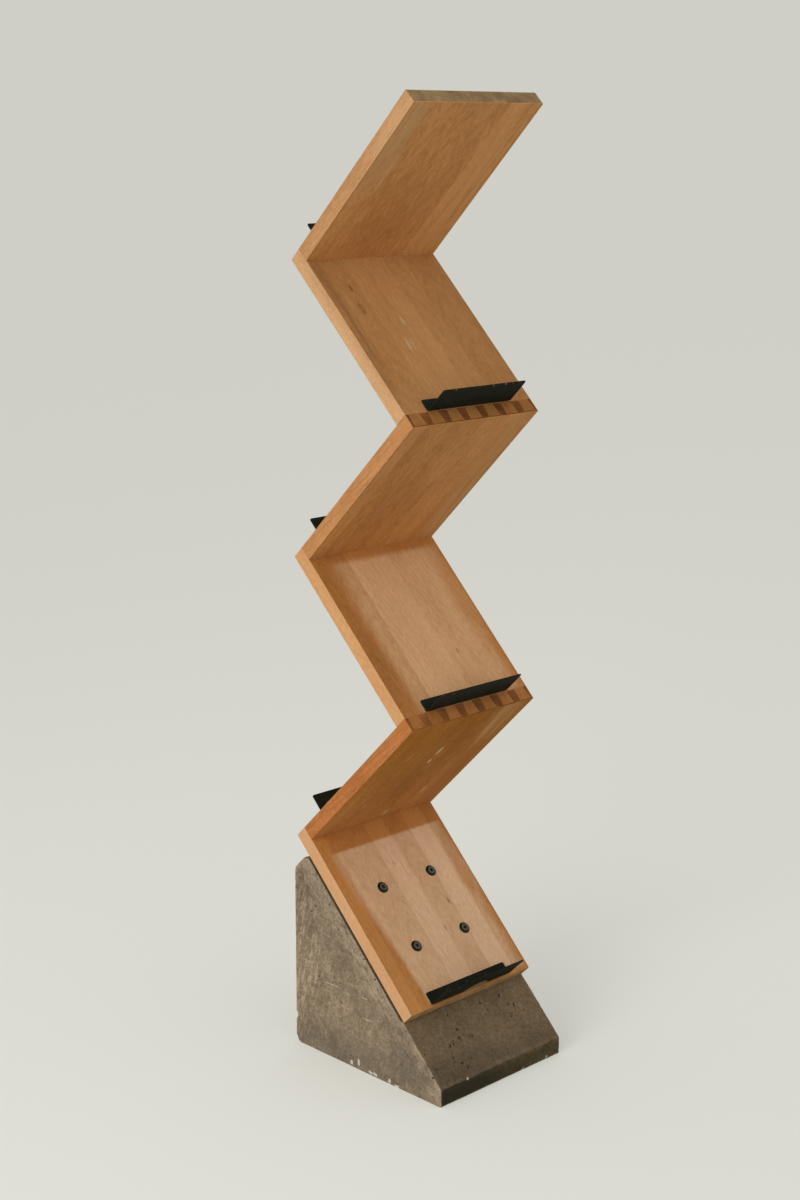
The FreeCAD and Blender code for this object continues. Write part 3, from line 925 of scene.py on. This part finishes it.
def base_faces(settings):
    """The casting's faces, each as a point on it and the direction into the concrete."""
    low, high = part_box("concrete_base")
    toe = Vector((0, low.y, settings.toe_height))
    back_corner = Vector((0, high.y, high.z - settings.back_drop))
    return [
        (low, Vector((1, 0, 0))), (high, Vector((-1, 0, 0))),
        (low, Vector((0, 1, 0))), (high, Vector((0, -1, 0))),
        (low, Vector((0, 0, 1))), (high, Vector((0, 0, -1))),
        (toe, Vector((0, DIAGONAL, -DIAGONAL))),
        (back_corner, Vector((0, -settings.back_drop, -settings.back_run)).normalized())]


def scattered(spots, reach, draw):
    """Each spot on a face as three close together, so that its outline is ragged."""
    return [
        (first + draw.uniform(-reach, reach), second + draw.uniform(-reach, reach))
        for first, second in spots for _ in range(3)]


def placed_marks(settings, draw):
    """The base's listed pits, white chips and broken corners, as points with a radius."""
    low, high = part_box("concrete_base")
    pits = []
    for across, up in scattered(SLOPE_PITS, 3, draw):
        rise = DIAGONAL * up * MM
        pits.append((Vector((across * MM, low.y + rise, settings.toe_height + rise)), PIT_RADIUS * MM))
    pits += [(Vector((low.x, depth * MM, height * MM)), PIT_RADIUS * MM)
             for depth, height in scattered(SIDE_PITS, 2, draw)]
    chips = [(Vector((low.x, depth * MM, height * MM)), SIDE_CHIP_RADIUS * MM)
             for depth, height in scattered(SIDE_CHIPS, 2.5, draw)]
    chips += [(Vector((across * MM, low.y, height * MM)), FRONT_CHIP_RADIUS * MM)
              for across, height in scattered(FRONT_CHIPS, 2, draw)]
    breaks = [(Vector((low.x, high.y, height * MM)), radius * MM) for height, radius in EDGE_BREAKS]
    return pits, chips, breaks


def mark_depths(mesh, marks, rough):
    """For each vertex, 0 outside every mark to 1 in the middle of one, with a ragged outline."""
    tree = kdtree.KDTree(len(marks))
    for index, (place, _) in enumerate(marks):
        tree.insert(place, index)
    tree.balance()
    widest = max(radius for _, radius in marks)
    depths = []
    for vertex in mesh.vertices:
        depth = 0.0
        for _, index, distance in tree.find_range(vertex.co, widest):
            ragged = 1 + rough * noise.noise(vertex.co / RAGGED)
            depth = max(depth, 1 - distance / (marks[index][1] * ragged))
        depths.append(max(depth, 0.0))
    return depths


def weather_base(piece, settings):
    """Sinks the faces' dips, the edges' chips and the air pits into the casting's skin."""
    low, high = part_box("concrete_base")
    faces = base_faces(settings)
    mesh = piece.data
    draw = random.Random(PIT_SEED)
    pits, chips, breaks = placed_marks(settings, draw)
    for vertex in draw.sample(list(mesh.vertices), settings.pits):
        pits.append((vertex.co.copy(), draw.choice(PIT_RADII) * MM))
    pit_depths = mark_depths(mesh, pits, rough=0.8)
    chip_depths = mark_depths(mesh, chips, rough=0.8)
    break_depths = mark_depths(mesh, breaks, rough=0.4)
    wears = []
    moves = []
    for vertex, pit, chip, broken in zip(mesh.vertices, pit_depths, chip_depths, break_depths):
        inside = sorted((vertex.co - point).dot(inwards) for point, inwards in faces)
        wear = max(0.0, 1 - inside[1] / settings.chip_reach)
        wears.append(wear)
        if inside[0] > settings.skin:
            moves.append(0.0)
            continue
        lump = noise.noise(vertex.co / LUMP) + 0.6 * noise.noise(vertex.co / CRUMB)
        dip = 0.5 + 0.5 * noise.noise(vertex.co / BROAD_DIP)
        rests = vertex.co.z < settings.grid and wear == 0
        moves.append(0.0 if rests else (
            settings.waviness * dip
            + settings.chip_depth * wear * wear * max(0.0, lump)
            + settings.pit_depth * min(1.0, 2 * pit)
            + settings.scar_depth * chip
            + settings.break_depth * broken))
    for vertex, normal, move in zip(mesh.vertices, [v.normal.copy() for v in mesh.vertices], moves):
        moved = vertex.co - normal * move
        vertex.co = [min(max(value, least), most) for value, least, most in zip(moved, low, high)]
    for name, values in {"wear": wears, "pit": pit_depths, "chip": chip_depths}.items():
        mesh.attributes.new(name, "FLOAT", "POINT").data.foreach_set("value", values)


class SHELF_OT_concrete_base(bpy.types.Operator):
    """Cast the concrete base with its rounded, chipped edges and air pits"""
    bl_idname = "shelf.concrete_base"
    bl_label = "Concrete base"

    def execute(self, context):
        settings = context.scene.shelf_base
        piece = copied_node("concrete_base", "cast_concrete_base")
        apply_modifier(piece, "REMESH", mode="VOXEL", voxel_size=settings.grid)
        weather_base(piece, settings)
        bpy.ops.object.shade_smooth()
        piece.data.materials.append(cast_concrete(settings))
        hand_over(piece, "concrete_base")
        return {"FINISHED"}


class SHELF_OT_base_bolts(bpy.types.Operator):
    """Ease the four bolt heads and finish them in black oxide"""
    bl_idname = "shelf.base_bolts"
    bl_label = "Base bolts"

    def execute(self, context):
        settings = context.scene.shelf_steel
        piece = copied_node("base_bolts", "black_base_bolts")
        ease_cut_edges(piece, 20, settings)
        smooth(piece, degrees=18)
        write_place(piece, board_frame(LOWEST_BOARD, context.scene.shelf_boards))
        piece.data.materials.append(black_oxide(settings))
        hand_over(piece, "base_bolts")
        return {"FINISHED"}


def build_screw(settings):
    """One countersunk screw, its head's face at the origin and its shank down Z."""
    head = settings.screw_head / 2
    shank = settings.screw_shank / 2
    rim = 0.2 * MM
    tip_length = 4 * MM
    tip = 0.3 * shank
    rings = [
        (head - rim, 0.0), (head, -rim), (shank, shank - head),
        (shank, tip_length - settings.screw_length), (tip, -settings.screw_length)]
    deselect_all()
    bpy.ops.mesh.primitive_circle_add(vertices=32, radius=rings[0][0], fill_type="NGON")
    piece = bpy.context.object
    bpy.ops.object.mode_set(mode="EDIT")
    for (radius, height), (next_radius, next_height) in zip(rings, rings[1:]):
        bpy.ops.mesh.extrude_region_move(TRANSFORM_OT_translate={"value": (0, 0, next_height - height)})
        ratio = next_radius / radius
        bpy.ops.transform.resize(value=(ratio, ratio, 1))
    bpy.ops.mesh.select_all(action="SELECT")
    bpy.ops.mesh.normals_make_consistent(inside=False)
    bpy.ops.object.mode_set(mode="OBJECT")
    bar = Vector([share * settings.screw_head for share in CROSS_SHARES])
    for scale in (bar, bar.yxz):
        bpy.ops.mesh.primitive_cube_add(size=1, scale=scale)
        cutter = bpy.context.object
        apply_modifier(piece, "BOOLEAN", object=cutter, operation="DIFFERENCE")
        bpy.data.objects.remove(cutter)
    smooth(piece, degrees=30)
    return piece


class SHELF_OT_stop_screws(bpy.types.Operator):
    """Model one countersunk screw and set three in each stop's flange"""
    bl_idname = "shelf.stop_screws"
    bl_label = "Stop screws"

    def execute(self, context):
        settings = context.scene.shelf_steel
        screw = build_screw(settings)
        copies = []
        for number in BOARD_NUMBERS:
            board = board_frame(number, context.scene.shelf_boards)
            line = setback(number, settings) + settings.screw_line
            for step in (-1, 0, 1):
                spot = Matrix.Translation((step * settings.screw_pitch, line, settings.sheet))
                # Each screw's cross stopped at an angle of its own
                turn = Matrix.Rotation(math.radians(37 * number + 61 * step), 4, "Z")
                copies.append(placed_copy(screw, board @ spot @ turn))
        bpy.data.objects.remove(screw)
        piece = joined(copies, "black_stop_screws")
        piece.data.materials.append(plated_steel("black_zinc_screws", settings.screw_zinc[:3], 0.4))
        hand_over(piece, "stop_screws")
        return {"FINISHED"}


class SHELF_OT_base_inserts(bpy.types.Operator):
    """Finish the sleeves that are cast into the base"""
    bl_idname = "shelf.base_inserts"
    bl_label = "Base inserts"

    def execute(self, context):
        zinc = context.scene.shelf_steel.sleeve_zinc[:3]
        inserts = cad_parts["base_inserts"].data
        inserts.materials.clear()
        inserts.materials.append(plated_steel("zinc_sleeves", zinc, 0.35))
        return {"FINISHED"}


def seen_directly(tree):
    """1 for a ray from the camera or off something glossy or clear, and 0 for light that is thrown."""
    path = add_node(tree, "LightPath").node.outputs
    rays = [path[f"Is {kind} Ray"] for kind in ("Camera", "Glossy", "Transmission")]
    return layered(tree, *((ray, 0.0, 1.0) for ray in rays), operation="MAXIMUM")


def pale_ground(settings):
    """Plain painted floor, raised to its own colour where it is seen, so that it meets the background."""
    material, tree, surface = new_material("pale_floor")
    finish_surface(tree, surface, {
        "Base Color": settings.pale,
        "Roughness": 0.9,
        "Specular IOR Level": 0.0,
        "Emission Color": settings.pale,
        "Emission Strength": layered(tree, (seen_directly(tree), 0.0, 1.0, 0.0, 1 - settings.sky))})
    return material


def studio_world(settings):
    """Even white light from all round, in front of a plain pale background."""
    world = bpy.data.worlds.new("studio")
    world.use_nodes = True
    tree = world.node_tree
    seen = seen_directly(tree)
    finish_surface(tree, tree.nodes["Background"].inputs, {
        "Color": add_node(tree, "Mix", seen, (1, 1, 1, 1), settings.pale, data_type="RGBA"),
        "Strength": layered(tree, (seen, 0.0, 1.0, settings.sky, 1.0))})
    return world


def add_key_light(settings, target):
    """The large square soft light, which points at a target."""
    data = bpy.data.lights.new("key_light", "AREA")
    data.energy = settings.key_watts
    data.size = settings.key_size
    data.spread = settings.key_spread
    light = bpy.data.objects.new("key_light", data)
    light.location = settings.key_place
    light.rotation_euler = (target - light.location).to_track_quat("-Z", "Y").to_euler()
    bpy.context.collection.objects.link(light)


def add_camera(settings):
    """The camera at the picture's place and angle."""
    data = bpy.data.cameras.new("camera")
    data.sensor_width = FRAME_WIDTH
    data.lens = settings.lens
    camera = bpy.data.objects.new("camera", data)
    forward = Vector((
        math.sin(settings.yaw) * math.cos(settings.pitch),
        math.cos(settings.yaw) * math.cos(settings.pitch),
        -math.sin(settings.pitch)))
    level_right = Vector((math.cos(settings.yaw), -math.sin(settings.yaw), 0))
    right = Matrix.Rotation(-settings.roll, 3, forward) @ level_right
    up = right.cross(forward)
    turn = Matrix((right, up, -forward)).transposed().to_4x4()
    camera.matrix_world = Matrix.Translation(Vector(settings.eye)) @ turn
    bpy.context.collection.objects.link(camera)
    bpy.context.scene.camera = camera


class SHELF_OT_stage(bpy.types.Operator):
    """Set up the floor, the lights, the background and the camera"""
    bl_idname = "shelf.stage"
    bl_label = "Stage"

    def execute(self, context):
        settings = context.scene.shelf_stage
        deselect_all()
        bpy.ops.mesh.primitive_circle_add(vertices=96, radius=settings.floor_radius, fill_type="NGON")
        floor = context.object
        floor.name = "floor"
        floor.data.materials.append(pale_ground(settings))
        add_key_light(settings, (CAD_BOX[0] + CAD_BOX[1]) / 2)
        context.scene.world = studio_world(settings)
        context.scene.view_settings.view_transform = "Standard"
        add_camera(settings)
        return {"FINISHED"}


class SHELF_PT_panel(bpy.types.Panel):
    """The shelf's pieces and stage"""
    bl_idname = "SHELF_PT_panel"
    bl_label = "Zigzag bookshelf"
    bl_space_type = "VIEW_3D"
    bl_region_type = "UI"
    bl_category = "Shelf"

    def draw(self, context):
        for operator in OPERATORS:
            self.layout.operator(operator.bl_idname)


OPERATORS = (
    SHELF_OT_boards, SHELF_OT_book_stops, SHELF_OT_concrete_base, SHELF_OT_base_bolts,
    SHELF_OT_stop_screws, SHELF_OT_base_inserts, SHELF_OT_stage)
SETTINGS = {
    "shelf_boards": ShelfBoards, "shelf_base": ShelfBase,
    "shelf_steel": ShelfSteel, "shelf_stage": ShelfStage}


def register():
    for name, group in SETTINGS.items():
        bpy.utils.register_class(group)
        setattr(bpy.types.Scene, name, PointerProperty(type=group))
    for operator in OPERATORS:
        bpy.utils.register_class(operator)
    bpy.utils.register_class(SHELF_PT_panel)


def unregister():
    bpy.utils.unregister_class(SHELF_PT_panel)
    for operator in reversed(OPERATORS):
        bpy.utils.unregister_class(operator)
    for name, group in SETTINGS.items():
        delattr(bpy.types.Scene, name)
        bpy.utils.unregister_class(group)


def main():
    register()
    bpy.ops.shelf.boards()
    bpy.ops.shelf.book_stops()
    bpy.ops.shelf.concrete_base()
    bpy.ops.shelf.base_bolts()
    bpy.ops.shelf.stop_screws()
    bpy.ops.shelf.base_inserts()
    bpy.ops.shelf.stage()


if __name__ == "__main__":
    main()
